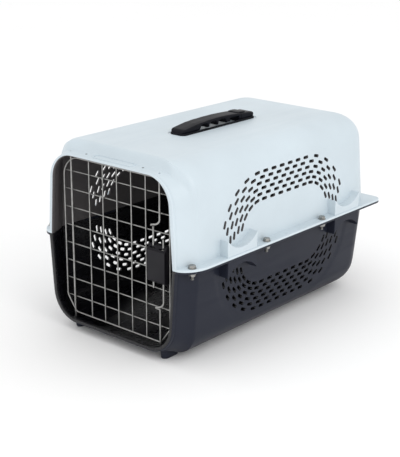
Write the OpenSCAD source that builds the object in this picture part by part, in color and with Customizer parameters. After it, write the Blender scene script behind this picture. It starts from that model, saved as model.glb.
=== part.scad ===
// Pet transport carrier: two moulded shells bolted at a flange, a wire door with a
// two-rod latch, and a carry handle. Millimetres, +Z up, -Y is the door end.
// The origin is on the ground, under the centre of the overall box.

/* [Overall] */
// Length from the front lip to the rear edge of the flange
carrier_l = 480; // [470:1:500]
// Width over the two side flanges
carrier_w = 307; // [303:1:315]
// Height of the parting plane between the two shells
parting_z = 146.7; // [140:0.1:150]
// Height of the roof panel
roof_z = 292.3; // [288:0.1:296]
// Height of the underside of the lower shell
floor_z = 7; // [5:0.5:9]

/* [Shells] */
// Wall thickness of both shells
wall = 3; // [2.5:0.1:3.2]
// Width of the thickened rim around the door mouth
rim_w = 7; // [6:0.5:8]
// Thickness of each flange
flange_t = 3.5; // [3:0.5:4.5]
// Overhang of the flange past the body wall
flange_out = 14.5; // [14:0.5:16]
// Half width of the door lip at the parting plane
lip_half_w = 127.8; // [126:0.1:129]
// Corner radius of the door lip
lip_r = 46; // [42:1:48]
// Height of the top of the door lip
lip_top_z = 277; // [276:0.5:278]
// Height of the bottom of the door lip
lip_bottom_z = 14.3; // [13.5:0.1:15]
// Distance from the lip to the line where the flared front meets the body
flare_l = 35; // [32:1:36]

/* [Vents] */
// Number of slot rows in each vent arch
vent_rows = 6; // [4:1:6]
// Distance between neighbouring rows
vent_row_pitch = 8.15; // [8:0.05:8.3]
// Distance between slots along the straight part of a row
vent_pitch = 19.8; // [19:0.1:20.5]
// Length of one slot
vent_l = 11.5; // [9:0.5:12.5]
// Width of one slot
vent_w = 4; // [3:0.5:4.5]

/* [Door] */
// Spacing of the door wires
wire_pitch = 28; // [27.5:0.1:28.2]
// Diameter of the grille wires
wire_d = 2.2; // [2:0.1:2.4]
// Diameter of the door's outer wire
frame_wire_d = 2.8; // [2.6:0.1:3]
// Diameter of the hinge rod
hinge_d = 3.2; // [3:0.1:3.4]
// Diameter of the two latch rods
rod_d = 3; // [2.8:0.1:3.2]
// Distance of the hinge rod and of the latch rods from the centre plane
rod_x = 88.8; // [88:0.1:89.5]
// Radial clearance of every rod in its hole
rod_gap = 0.08; // [0.05:0.01:0.1]

/* [Handle] */
// Length of the handle
handle_l = 173; // [170:1:176]
// Width of the handle
handle_w = 30; // [29:1:32]
// Centre of the handle along the roof
handle_y = -11; // [-13:0.5:-9]
// How far the grip lifts out of its end caps
grip_lift = 6; // [4:0.5:6]

/* [Hidden] */

// A thickness that only gives a flat outline some body inside a hull
skin = 0.02;
// Steps in each rounded corner of a shell profile and of a plan outline
arc_steps = 6;
corner_steps = 6;
shell_colour = [0.84, 0.89, 0.92];
base_colour = [0.19, 0.2, 0.24];
black_plastic = [0.12, 0.12, 0.13];
zinc = [0.72, 0.73, 0.74];

// Plan of the shells
lip_y = -carrier_l / 2;
crease_y = lip_y + flare_l;
body_hw = carrier_w / 2 - flange_out;
rear_y = carrier_l / 2 - 12.5;
rear_corner_r = 39;

// Each shell's form, measured away from the parting plane: height, edge radius at
// the side and at the rear, and draft of the side and of the rear wall
upper_h = roof_z - parting_z;
lower_h = parting_z - floor_z;
upper_side_r = 45;
upper_rear_r = 36;
lower_side_r = 36;
lower_rear_r = 48;
upper_draft = 3;
lower_draft = 4.5;
rear_draft = 4.5;
lip_draft = 4;
lip_upper_h = lip_top_z - parting_z;
lip_lower_h = parting_z - lip_bottom_z;
// The ledge behind the lip, and the step from it up to the roof
ledge_h = 280 - parting_z;
step_foot_y = lip_y + 18.5;
step_top_y = lip_y + 26.5;
// Depth of the lip's flat front land
lip_land = 4;
// Thickness of the lip at its top and bottom
lip_top_t = 3.7;
sill_t = 5.7;

// Side pockets over and under the flange, at these centres along the body
pocket_ys = [-124, 139.5];
pocket_l = 66;
pocket_out = 13;
pocket_h = 29;
scoop_r = 43;
scoop_dip = 12;

// Fasteners of the flange: centres on the right-hand side, and at the rear
bolt_points = [[141, -221], [146.4, -62], [146.4, 78]];
rear_bolt_x = 70;
rear_bolt_y = carrier_l / 2 - 6.1;
bolt_d = 5;
bolt_hole_r = 2.75;
hex_d = 9.2;
hex_h = 3.6;
washer_r = 6;
washer_t = 1;
bolt_tip = 5.5;

// Feet moulded under the lower shell
foot_x = 88;
foot_w = 12;
foot_l = 30;
foot_ys = [-210, 168];

// Layers of the door, front to back
upright_y = lip_y + 13.8;
cross_y = upright_y + wire_d - 0.2;
outer_y = upright_y;
hinge_y = cross_y - wire_d / 2 - hinge_d / 2 + 0.2;
rod_y = lip_y + 10.5;
// Door outline: half width, and where the corners are cut
door_hw = 105;
door_top_z = 268.4;
door_bottom_z = 26;
door_cut_top = [86.2, 249.6];
door_cut_bottom = [87, 50.4];
first_upright_x = -52.6;
uprights = 5;
top_cross_z = 246.4;
crosses = 8;

// How much thicker a wire is where it is bent
bend_swell = 1.12;
// Turn of each straight stretch about its own line, which keeps its seam off the bends
seam_turn = 40;

// Latch housing, and the two rods that pass through it
latch_x0 = 69.5;
latch_x1 = 102.8;
latch_z0 = 117.5;
latch_z1 = 172.5;
latch_y0 = lip_y + 4.5;
latch_y1 = cross_y - wire_d / 2 - 0.1;
latch_wall = 3;
latch_screw_zs = [latch_z0 + 8, latch_z0 + 31];
plate_y0 = cross_y + wire_d / 2 + 0.1;
plate_t = 2.4;
upper_stub_x = 76.7;
lower_stub_x = 95.6;
rib_x = (upper_stub_x + lower_stub_x) / 2;
upper_stub_z = 107;
lower_stub_z = 184;
upper_loop_z = 207;
lower_loop_z = 84;
loop_half = 5;
loop_out = 6;
collar_r = 3.2;
collar_h = 3;
upper_collar_z = 147;
lower_collar_z = 140;
spring_r = 2.5;
spring_wire_r = 0.5;
spring_turns = 7;

// Holes for the hinge rod and the latch rods in the lip
sill_z = 21.9;
mouth_top_z = 271.4;
tip_clear = 1.6;
hinge_seat_z = 14;
hinge_top_z = 277;

// Handle heights
recess = 1;
base_t = 3;
base_z = roof_z - recess;
grip_z = base_z + base_t;
cap_l = 35;
cap_top = 305.6;
tongue_t = 2.4;
tongue_l = 12;
// Finger openings under the grip: three scallops, then one plain slot behind them
scallop_r = 9;
scallop_pitch = 21.5;
first_scallop_y = -47;
slot_y0 = 13.5;
slot_l = 22;
slot_h = 5.6;
// Opening through the base, under the grip, and where it starts behind each cap
base_hole_w = 24;
base_hole_inset = 5;
handle_y0 = handle_y - handle_l / 2;
handle_y1 = handle_y + handle_l / 2;
// Two dimples in the ledge above the door
dimple_x = 56;
dimple_in = 13;
dimple_r = 1.8;
dimple_depth = 2.2;
// Handle screws: their places in from the handle's ends and out from its middle, and their clearance
handle_screw_in = 8;
handle_screw_x = 6;
handle_screw_hole_r = 2.2;
// Height of the seat of the screws' washers, under the roof
washer_seat_z = roof_z - wall - 0.1;

$fn = 48;

function mirrored(p) = [for (i = [len(p) - 1:-1:0]) [-p[i][0], p[i][1]]];
function mix(a, b, t) = a + (b - a) * t;

// A drafted flank that turns over a round edge: the edge's centre, and the flank's
// distance from the middle at height z above the parting plane
function edge_c(hw, h, r, draft) = hw - (h - r + r * sin(draft)) * tan(draft) - r * cos(draft);
function flank(z, hw, h, r, draft) =
    z <= h - r + r * sin(draft)
        ? hw - z * tan(draft)
        : edge_c(hw, h, r, draft) + sqrt(max(0, r * r - pow(z - h + r, 2)));
function half_profile(hw, h, r, draft, top) = [
    for (i = [-1:arc_steps])
        let(a = draft + (90 - draft) * i / arc_steps)
        let(z = i < 0 ? 0 : min(top, h - r + r * sin(a)))
        [flank(z, hw, h, r, draft), z]
];

// A thin upright plate with a shell profile, at y
module profile_plate(y, t, hw, h, r, draft, top) {
    half = half_profile(hw, h, r, draft, top);
    translate([0, y + t, 0])
        rotate([90, 0, 0])
            linear_extrude(t)
                polygon(concat(half, mirrored(half)));
}

// A thin level plate: straight flanks, round rear corners, and a front that narrows
module plan_plate(z, hw, front, front_hw, rear, r) {
    corner = [
        for (i = [0:corner_steps])
            let(a = 90 * i / corner_steps)
            [hw - r + r * cos(a), rear - r + r * sin(a)]
    ];
    half = concat([[front_hw, front], [hw, crease_y]], corner);
    translate([0, 0, z])
        linear_extrude(skin)
            polygon(concat(half, mirrored(half)));
}

// Heights at which the body is sliced: the parting plane, then up the rounded edge
function levels(h, r) = [
    for (i = [-1:arc_steps]) i < 0 ? 0 : h - skin - r + r * sin(90 * i / arc_steps)
];

// The part of a shell behind the crease. in is how far it lies inside the outer form.
module body_form(h, side_r, rear_r, draft, in) {
    hw = body_hw - in;
    rear = rear_y - in;
    hull()
        for (z = levels(h - in, side_r - in))
            plan_plate(
                z,
                flank(z, hw, h - in, side_r - in, draft),
                crease_y + skin,
                flank(z, hw, h - in, side_r - in, draft),
                flank(z, rear, h - in, rear_r - in, rear_draft),
                max(8, rear_corner_r - in - 0.6 * (hw - flank(z, hw, h - in, side_r - in, draft)))
            );
}

// The raised front of the roof, between the ledge's step and the crease
module roof_front(in) {
    h = upper_h - in;
    layers = 3;
    foot_sink = 3;
    low_lean = 0.7;
    corner_cut = 17;
    corner_turn = 72;
    hull()
        for (i = [0:layers]) {
            rise = sin(90 * i / layers);
            corner = corner_cut * cos(corner_turn * i / layers);
            z = mix(ledge_h - foot_sink, h - skin, rise);
            hw = flank(z, body_hw - in, h, upper_side_r - in, upper_draft);
            front = in + mix(step_foot_y, step_top_y, i == layers ? 1 : low_lean * rise);
            translate([0, 0, z])
                linear_extrude(skin)
                    polygon([
                        [hw - corner, front], [hw, crease_y + 1],
                        [-hw, crease_y + 1], [-hw + corner, front]
                    ]);
        }
}

// The flared front of a shell, from the lip back to the crease
module flare_form(lip_h, top, h, side_r, draft, side_in, top_in, in) {
    y0 = lip_y - (in > 0 ? 1 : 0);
    hull() {
        profile_plate(
            y0, lip_y + lip_land - y0, lip_half_w - side_in,
            lip_h - top_in, lip_r - side_in, lip_draft, lip_h
        );
        profile_plate(crease_y, skin, body_hw - in, h - in, side_r - in, draft, top - in);
    }
}

// One pocket beside the wall: a block whose top is scooped out
module pocket(y, from_z) {
    translate([body_hw - 8, y - pocket_l / 2, from_z])
        difference() {
            cube([pocket_out + 8, pocket_l, pocket_h]);
            translate([-1, pocket_l / 2, scoop_dip + scoop_r])
                rotate([0, 90, 0])
                    cylinder(r = scoop_r, h = pocket_out + 10, $fn = 96);
        }
}

module pockets() {
    for (side = [0, 1], y = pocket_ys)
        mirror([side, 0, 0])
            pocket(y, 0);
}

// The flange's plan: it follows the lip's flare, then runs straight to the rear
module flange_plan() {
    hw = carrier_w / 2;
    r = 14;
    side = [
        [lip_half_w, lip_y], [143, lip_y + 10], [150.5, lip_y + 24], [hw, lip_y + 42],
        [hw, carrier_l / 2 - r], [hw - r, carrier_l / 2]
    ];
    polygon(concat(side, mirrored(side)));
    for (s = [-1, 1])
        translate([s * (hw - r), carrier_l / 2 - r])
            circle(r);
}

// Rows of the vent arch, from the inside out: straight over the middle, with round
// ends. For each row: where its straight part starts, and for the front and rear ends
// the number of slots, the first slot's angle and the angle between slots.
vent_z = 161.2 - parting_z;
vent_r0 = 50.3;
vent_front_y = -60;
vent_rear_y = 54;
row_start = [-54.5, -45, -55, -46.5, -58, -50];
straight_n = 6;
front_n = [4, 5, 5, 6, 5, 5];
front_start = [14, 5, 12.5, 4.5, 13.5, 6];
front_step = [18, 17, 17, 16, 15.5, 16];
rear_n = [4, 4, 5, 5, 5, 4];
rear_start = [7.5, 16, 7, 15.5, 6.5, 14];
rear_step = [19, 18.5, 18, 17, 17, 18];
function row_r(row) = vent_r0 + vent_row_pitch * row;
function slot_list(row) = concat(
    [for (i = [0:straight_n - 1]) [row_start[row] + vent_pitch * i, vent_z + row_r(row), 0]],
    [for (i = [0:front_n[row] - 1])
        let(a = front_start[row] + front_step[row] * i)
        [vent_front_y - row_r(row) * sin(a), vent_z + row_r(row) * cos(a), a]],
    [for (i = [0:rear_n[row] - 1])
        let(a = rear_start[row] + rear_step[row] * i)
        [vent_rear_y + row_r(row) * sin(a), vent_z + row_r(row) * cos(a), -a]]
);

// One slot through both side walls; its length follows the row
module vent_slot(y, z, tilt) {
    reach = carrier_w / 2 + 1;
    straight = vent_l - vent_w;
    translate([-reach, y, z])
        rotate([tilt, 0, 0])
            rotate([90, 0, 90])
                linear_extrude(2 * reach) {
                    square([straight, vent_w], center = true);
                    translate([-straight / 2, 0])
                        circle(d = vent_w, $fn = 24);
                    translate([straight / 2, 0])
                        circle(d = vent_w, $fn = 24);
                }
}

module vents() {
    for (row = [0:vent_rows - 1], s = slot_list(row))
        vent_slot(s[0], s[1], s[2]);
}

module bolt_places() {
    for (side = [0, 1], p = bolt_points)
        mirror([side, 0, 0])
            translate([p[0], p[1], 0])
                children();
    for (x = [-rear_bolt_x, rear_bolt_x])
        translate([x, rear_bolt_y, 0])
            children();
}

// Screws of the handle, two under each end cap
module handle_screw_places() {
    for (end = [handle_y0 + handle_screw_in, handle_y1 - handle_screw_in],
         x = [-handle_screw_x, handle_screw_x])
        translate([x, end, 0])
            children();
}

// Upper shell, drawn upwards from the parting plane
module upper_shell() {
    color(shell_colour)
        translate([0, 0, parting_z])
            difference() {
                union() {
                    flare_form(lip_upper_h, ledge_h, upper_h, upper_side_r, upper_draft, 0, 0, 0);
                    body_form(upper_h, upper_side_r, upper_rear_r, upper_draft, 0);
                    roof_front(0);
                    linear_extrude(flange_t)
                        flange_plan();
                    pockets();
                }
                translate([0, 0, -skin]) {
                    flare_form(
                        lip_upper_h, ledge_h, upper_h, upper_side_r, upper_draft,
                        rim_w, lip_top_t, wall
                    );
                    body_form(upper_h, upper_side_r, upper_rear_r, upper_draft, wall);
                    roof_front(wall);
                }
                vents();
                translate([0, 0, -1])
                    bolt_places()
                        cylinder(r = bolt_hole_r, h = flange_t + 2);
                translate([-rod_x, hinge_y, 90])
                    cylinder(r = hinge_d / 2 + rod_gap, h = 60);
                translate([rod_x, rod_y, 90])
                    cylinder(r = rod_d / 2 + rod_gap, h = 60);
                for (x = [-dimple_x, dimple_x])
                    translate([x, lip_y + dimple_in, ledge_h - dimple_depth])
                        cylinder(r = dimple_r, h = 6);
                translate([0, handle_y, upper_h - recess])
                    handle_plan(5, 3);
                handle_screw_places()
                    translate([0, 0, upper_h - 8])
                        cylinder(r = handle_screw_hole_r, h = 12);
            }
}

// Outline of the handle as a solid: grown sideways by grow
module handle_plan(h, grow) {
    w = handle_w + 2 * grow;
    l = handle_l + 2 * grow;
    r = 8;
    translate([-w / 2, -l / 2 + r, 0])
        cube([w, l - 2 * r, h]);
    translate([-w / 2 + r, -l / 2, 0])
        cube([w - 2 * r, l, h]);
    for (x = [-w / 2 + r, w / 2 - r], y = [-l / 2 + r, l / 2 - r])
        translate([x, y, 0])
            cylinder(r = r, h = h);
}

// Lower shell, drawn upside down from the parting plane and then mirrored
module lower_shell() {
    color(base_colour)
        translate([0, 0, parting_z])
            mirror([0, 0, 1])
                difference() {
                    union() {
                        flare_form(lip_lower_h, lower_h, lower_h, lower_side_r, lower_draft, 0, 0, 0);
                        body_form(lower_h, lower_side_r, lower_rear_r, lower_draft, 0);
                        linear_extrude(flange_t)
                            flange_plan();
                        pockets();
                        feet();
                    }
                    translate([0, 0, -skin]) {
                        flare_form(
                            lip_lower_h, lower_h, lower_h, lower_side_r, lower_draft,
                            rim_w, sill_t, wall
                        );
                        body_form(lower_h, lower_side_r, lower_rear_r, lower_draft, wall);
                    }
                    vents();
                    translate([0, 0, -1])
                        bolt_places()
                            cylinder(r = bolt_hole_r, h = flange_t + 2);
                    translate([-rod_x, hinge_y, parting_z - 40])
                        cylinder(r = hinge_d / 2 + rod_gap, h = 40 - hinge_seat_z);
                    translate([rod_x, rod_y, parting_z - 40])
                        cylinder(r = rod_d / 2 + rod_gap, h = 40);
                }
}

// Four long feet; their tops end inside the shell wall
module feet() {
    top = 16;
    for (x = [-foot_x, foot_x], y = foot_ys)
        translate([x, y, parting_z - top]) {
            translate([-foot_w / 2, -(foot_l - foot_w) / 2, 0])
                cube([foot_w, foot_l - foot_w, top]);
            for (end = [-1, 1])
                translate([0, end * (foot_l - foot_w) / 2, 0])
                    cylinder(d = foot_w, h = top);
        }
}

module flange_bolts() {
    head_z = parting_z + flange_t + washer_t;
    tip_z = parting_z - flange_t - washer_t - hex_h - bolt_tip;
    color(zinc)
        bolt_places() {
            translate([0, 0, head_z])
                cylinder(d = hex_d / cos(30), h = hex_h, $fn = 6);
            translate([0, 0, tip_z])
                cylinder(d = bolt_d, h = head_z - tip_z);
        }
}

module flange_washers() {
    color(zinc)
        bolt_places()
            for (z = [parting_z + flange_t, parting_z - flange_t - washer_t])
                translate([0, 0, z])
                    difference() {
                        cylinder(r = washer_r, h = washer_t);
                        translate([0, 0, -1])
                            cylinder(r = bolt_hole_r, h = washer_t + 2);
                    }
}

module flange_nuts() {
    color(zinc)
        bolt_places()
            translate([0, 0, parting_z - flange_t - washer_t - hex_h])
                difference() {
                    cylinder(d = hex_d / cos(30), h = hex_h, $fn = 6);
                    translate([0, 0, -1])
                        cylinder(d = bolt_d + 0.06, h = hex_h + 2);
                }
}

// A round wire through the given points, with a slightly swollen ball at every bend;
// a closed one joins up
module wire(points, d, closed = false) {
    n = len(points);
    for (i = [0:closed ? n - 1 : n - 2]) {
        a = points[i];
        v = points[(i + 1) % n] - a;
        translate(a)
            rotate([0, acos(v[2] / norm(v)), atan2(v[1], v[0])])
                rotate([0, 0, seam_turn])
                    cylinder(d = d, h = norm(v), $fn = 24);
    }
    for (i = [closed ? 0 : 1:closed ? n - 1 : n - 2])
        translate(points[i])
            sphere(d = d * bend_swell, $fn = 32);
}

module door_outer_wire() {
    right = [
        [door_cut_top[0], outer_y, door_top_z], [door_hw, outer_y, door_cut_top[1]],
        [door_hw, outer_y, door_cut_bottom[1]], [door_cut_bottom[0], outer_y, door_bottom_z]
    ];
    left = [for (i = [3:-1:0]) [-right[i][0], right[i][1], right[i][2]]];
    color(zinc)
        wire(concat(right, left), frame_wire_d, true);
}

module door_upright_wires() {
    color(zinc)
        for (i = [0:uprights - 1])
            translate([first_upright_x + wire_pitch * i, upright_y, door_bottom_z])
                cylinder(d = wire_d, h = door_top_z - door_bottom_z, $fn = 24);
}

module door_cross_wires() {
    color(zinc)
        for (i = [0:crosses - 1])
            translate([-door_hw, cross_y, top_cross_z - wire_pitch * i])
                rotate([0, 90, 0])
                    cylinder(d = wire_d, h = 2 * door_hw, $fn = 24);
}

module door_hinge_rod() {
    color(zinc)
        translate([-rod_x, hinge_y, hinge_seat_z + 0.2])
            cylinder(d = hinge_d, h = hinge_top_z - hinge_seat_z - 0.2);
}

// Latch housing: a bevelled box, open at the back, with a rib between the two rods
module latch_housing() {
    w = latch_x1 - latch_x0;
    h = latch_z1 - latch_z0;
    depth = latch_y1 - latch_y0;
    bevel = 4;
    top_bevel = [6, 7];
    rib_half = 3.5;
    collar_gap = 0.4;
    color(black_plastic)
        difference() {
            translate([latch_x0, 0, latch_z0])
                rotate([90, 0, 90])
                    linear_extrude(w)
                        polygon([
                            [latch_y1, 0], [latch_y1, h], [latch_y0 + top_bevel[0], h],
                            [latch_y0, h - top_bevel[1]], [latch_y0, bevel], [latch_y0 + bevel, 0]
                        ]);
            for (x = [
                [latch_x0 + latch_wall, rib_x - rib_half], [rib_x + rib_half, latch_x1 - latch_wall]
            ])
                translate([x[0], rod_y - collar_r - collar_gap, latch_z0 + latch_wall])
                    cube([x[1] - x[0], depth, h - 2 * latch_wall]);
            for (x = [upper_stub_x, lower_stub_x])
                translate([x, rod_y, latch_z0 - 1])
                    cylinder(r = rod_d / 2 + rod_gap, h = h + 2);
            for (z = latch_screw_zs)
                translate([rib_x, latch_y1 + 1, z])
                    rotate([90, 0, 0])
                        cylinder(d = 2.5, h = 7);
        }
}

// The plate behind the door wires that the housing is screwed to
module latch_back_plate() {
    w = latch_x1 - latch_x0;
    h = latch_z1 - latch_z0;
    color(black_plastic)
        difference() {
            union() {
                translate([latch_x0, plate_y0, latch_z0])
                    cube([w, plate_t, h]);
                for (z = latch_screw_zs)
                    translate([rib_x, plate_y0, z])
                        rotate([90, 0, 0])
                            cylinder(d = 6, h = plate_y0 - latch_y1);
            }
            for (z = latch_screw_zs)
                translate([rib_x, plate_y0 + plate_t + 1, z])
                    rotate([90, 0, 0])
                        cylinder(d = 3.1, h = 12);
        }
}

module latch_screws() {
    head_y = plate_y0 + plate_t;
    color(zinc)
        for (z = latch_screw_zs)
            translate([rib_x, head_y, z]) {
                rotate([90, 0, 0])
                    cylinder(d = 2.44, h = head_y - latch_y1 + 5.5);
                rotate([-90, 0, 0])
                    difference() {
                        cylinder(d = 6, h = 1.8);
                        translate([-3, -0.5, 0.9])
                            cube([6, 1, 2]);
                    }
            }
}

// A latch rod: a straight stub, a forward finger loop, and the bolt that enters the lip
module latch_rod(stub_x, stub_z, loop_z, tip_z) {
    step = tip_z > loop_z ? 1 : -1;
    near = loop_z - loop_half * step;
    far = loop_z + loop_half * step;
    color(zinc)
        wire([
            [stub_x, rod_y, stub_z], [stub_x, rod_y, near], [stub_x, rod_y - loop_out, near],
            [rod_x, rod_y - loop_out, far], [rod_x, rod_y, far], [rod_x, rod_y, tip_z]
        ], rod_d);
}

module upper_bolt_rod() {
    latch_rod(upper_stub_x, upper_stub_z, upper_loop_z, mouth_top_z - tip_clear);
}

module lower_bolt_rod() {
    latch_rod(lower_stub_x, lower_stub_z, lower_loop_z, sill_z + tip_clear);
}

module collar(x, z) {
    color(zinc)
        translate([x, rod_y, z])
            difference() {
                cylinder(r = collar_r, h = collar_h);
                translate([0, 0, -1])
                    cylinder(d = rod_d, h = collar_h + 2);
            }
}

module upper_bolt_collar() {
    collar(upper_stub_x, upper_collar_z);
}

module lower_bolt_collar() {
    collar(lower_stub_x, lower_collar_z);
}

// A helix of round wire with flat-ended coils, standing between two heights
module spring(x, z0, z1) {
    sides = 6;
    per_turn = 12;
    n = spring_turns * per_turn;
    rise = z1 - z0 - 2 * spring_wire_r;
    points = [
        for (i = [0:n], j = [0:sides - 1])
            let(t = 360 * i / per_turn, a = 360 * j / sides)
            let(r = spring_r + spring_wire_r * cos(a))
            [r * cos(t), r * sin(t), spring_wire_r + rise * i / n + spring_wire_r * sin(a)]
    ];
    sidefaces = [
        for (i = [0:n - 1], j = [0:sides - 1], half = [0, 1])
            let(a = i * sides + j, b = i * sides + (j + 1) % sides)
            half == 0 ? [a, b, b + sides] : [a, b + sides, a + sides]
    ];
    ends = [
        [for (j = [sides - 1:-1:0]) j],
        [for (j = [0:sides - 1]) n * sides + j]
    ];
    color(zinc)
        translate([x, rod_y, z0])
            polyhedron(points, concat(sidefaces, ends));
}

module upper_bolt_spring() {
    spring(upper_stub_x, latch_z0 + latch_wall, upper_collar_z);
}

module lower_bolt_spring() {
    spring(lower_stub_x, lower_collar_z + collar_h, latch_z1 - latch_wall);
}

// Base plate of the handle, in the roof's shallow recess
module handle_base() {
    color(black_plastic)
        difference() {
            translate([0, handle_y, base_z])
                handle_plan(base_t, 0);
            handle_screw_places()
                translate([0, 0, base_z - 1])
                    cylinder(r = handle_screw_hole_r, h = base_t + 2);
            translate([-base_hole_w / 2, handle_y0 + cap_l + base_hole_inset, base_z - 1])
                cube([base_hole_w, handle_l - 2 * (cap_l + base_hole_inset), base_t + 2]);
        }
}

// End cap: a block with a sloping top, with a pocket for the grip's tongue.
// dir points from the handle's end towards its middle.
module end_cap(y, dir, top_out) {
    w = handle_w - 2;
    pocket_wall = 3;
    inner_fall = 0.3;
    pocket_top = grip_z + tongue_t + grip_lift + 0.5;
    translate([0, y, 0])
        facing(dir)
            difference() {
                translate([-w / 2, 0, grip_z])
                    rotate([90, 0, 90])
                        linear_extrude(w)
                            polygon([
                                [1, 0], [cap_l, 0], [cap_l, cap_top - grip_z],
                                [cap_l - 10, cap_top - grip_z - inner_fall],
                                [4, top_out - grip_z], [1, top_out - grip_z - 3]
                            ]);
                translate([-w / 2 + pocket_wall, cap_l - tongue_l - 1, grip_z - 1])
                    cube([w - 2 * pocket_wall, tongue_l + 2, pocket_top - grip_z + 1]);
                for (x = [-handle_screw_x, handle_screw_x])
                    translate([x, handle_screw_in, grip_z - 1])
                        cylinder(d = 3.5, h = 5);
            }
}

// Turns a shape drawn along +Y to face along -Y when dir is negative
module facing(dir) {
    if (dir < 0)
        mirror([0, 1, 0])
            children();
    else
        children();
}

module handle_front_cap() {
    color(black_plastic)
        end_cap(handle_y0, 1, 299);
}

module handle_rear_cap() {
    color(black_plastic)
        end_cap(handle_y1, -1, 303.5);
}

// Arched grip with three finger scallops; its tongues reach into the end caps
module handle_grip() {
    end_gap = 0.3;
    top_z = 306;
    flat_part = [0.35, 0.75];
    y0 = handle_y0 + cap_l + end_gap;
    y1 = handle_y1 - cap_l - end_gap;
    foot_z = grip_z + 0.1;
    w = handle_w - 3;
    span = y1 - y0;
    color(black_plastic)
        difference() {
            union() {
                translate([-w / 2, y0, foot_z])
                    rotate([90, 0, 90])
                        linear_extrude(w)
                            polygon([
                                [0, 0], [span, 0], [span, cap_top - foot_z],
                                [span * flat_part[1], top_z - foot_z],
                                [span * flat_part[0], top_z - foot_z],
                                [0, cap_top - foot_z]
                            ]);
                for (y = [y0 - tongue_l + 0.5, y1 - 1])
                    translate([-w / 2 + 4, y, foot_z])
                        cube([w - 8, tongue_l + 0.5, tongue_t]);
            }
            for (i = [0:2])
                translate([-w, first_scallop_y + scallop_pitch * i, foot_z - 1])
                    finger_scallop(2 * w);
            translate([-w, slot_y0, foot_z - 1])
                cube([2 * w, slot_l, slot_h + 1]);
        }
}

// One finger opening, running across the grip
module finger_scallop(length) {
    r = scallop_r;
    flat = 5.2;
    intersection() {
        translate([0, -r, 0])
            cube([length, 2 * r, 1 + flat + 2]);
        translate([0, 0, flat - r + 3])
            rotate([0, 90, 0])
                cylinder(r = r + 1.2, h = length, $fn = 64);
    }
}

module handle_screws() {
    head_z = washer_seat_z - washer_t;
    color(zinc)
        handle_screw_places() {
            translate([0, 0, head_z - 2.6])
                difference() {
                    cylinder(d = 7, h = 2.6);
                    translate([-0.6, -4, -1])
                        cube([1.2, 8, 2.2]);
                }
            translate([0, 0, head_z])
                cylinder(d = 3.44, h = grip_z + 3.5 - head_z);
        }
}

module handle_washers() {
    color(zinc)
        handle_screw_places()
            translate([0, 0, washer_seat_z - washer_t])
                difference() {
                    cylinder(d = 10, h = washer_t);
                    translate([0, 0, -1])
                        cylinder(d = 4, h = washer_t + 2);
                }
}

lower_shell();
upper_shell();
flange_bolts();
flange_washers();
flange_nuts();
door_outer_wire();
door_upright_wires();
door_cross_wires();
door_hinge_rod();
latch_housing();
latch_back_plate();
latch_screws();
upper_bolt_rod();
upper_bolt_collar();
upper_bolt_spring();
lower_bolt_rod();
lower_bolt_collar();
lower_bolt_spring();
handle_base();
handle_front_cap();
handle_rear_cap();
handle_grip();
handle_screws();
handle_washers();
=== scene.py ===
import math

import bmesh
import bpy
import numpy as np
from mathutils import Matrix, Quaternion, Vector


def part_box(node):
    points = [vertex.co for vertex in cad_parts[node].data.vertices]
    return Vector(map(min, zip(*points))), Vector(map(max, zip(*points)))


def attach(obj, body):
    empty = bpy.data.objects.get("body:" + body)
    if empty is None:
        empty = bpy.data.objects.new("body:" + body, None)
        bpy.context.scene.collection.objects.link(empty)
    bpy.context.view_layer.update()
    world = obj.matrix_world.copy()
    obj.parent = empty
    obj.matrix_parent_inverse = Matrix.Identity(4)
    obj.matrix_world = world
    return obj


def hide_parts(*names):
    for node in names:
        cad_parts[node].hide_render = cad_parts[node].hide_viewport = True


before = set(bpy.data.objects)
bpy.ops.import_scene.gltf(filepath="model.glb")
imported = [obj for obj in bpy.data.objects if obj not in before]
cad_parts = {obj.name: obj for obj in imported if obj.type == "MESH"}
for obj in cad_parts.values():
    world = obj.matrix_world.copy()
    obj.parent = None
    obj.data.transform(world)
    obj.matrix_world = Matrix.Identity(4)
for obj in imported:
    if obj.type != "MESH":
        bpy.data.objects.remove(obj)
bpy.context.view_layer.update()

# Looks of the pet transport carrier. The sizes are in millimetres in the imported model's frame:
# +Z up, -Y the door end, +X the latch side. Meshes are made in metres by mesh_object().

MM = 0.001


def node_box(node):
    """A CAD node's lowest and highest corners, in millimetres."""
    low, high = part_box(node)
    return low / MM, high / MM


# ---------------------------------------------------------------- driving dimensions

upper_low, upper_high = node_box("upper_shell")
PARTING_Z = upper_low.z
LIP_Y = upper_low.y
REAR_EDGE_Y = upper_high.y
FLANGE_HW = upper_high.x
ROOF_H = upper_high.z - PARTING_Z
FEET_H = 7
FLOOR_H = PARTING_Z - FEET_H
FLANGE_OUT = 14.5
FLANGE_OUT_REAR = 12.5
FLANGE_T = 3.5
FLANGE_CORNER_R = 14
FLANGE_FILLET = 1.8
FLANGE_EDGE_CUT = 0.5
FLANGE_GROWTH_L = 42
BODY_HW = FLANGE_HW - FLANGE_OUT
REAR_Y = REAR_EDGE_Y - FLANGE_OUT_REAR
REAR_CORNER_R = 39
REAR_CORNER_MIN_R = 8
REAR_CORNER_FADE = 0.6
REAR_DRAFT = math.radians(4.5)
LIP_DRAFT = math.radians(4)
WALL = 3
RIM_W = 7
LIP_LAND = 4
LIP_HW = 127.8
LIP_R = 46
FLARE_L = 35
FLARE_BULGE = 0.12
CREASE_Y = LIP_Y + FLARE_L

# The ledge over the door, and the step from it up to the roof. The step is steep at the sides,
# gentle in the middle, and sweeps back at its corners.
LEDGE_H = 133.3
LEDGE_SIDE_R = 38
STEP_FOOT_Y = LIP_Y + 18.5
STEP_INSIDE = 2.4
STEP_W = 4
STEP_MID_W = 13
STEP_MID_X = 70
STEP_MID_FADE = 35
STEP_CORNER_X = 98
STEP_CORNER_FADE = 38
STEP_CORNER_BACK = 10

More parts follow.
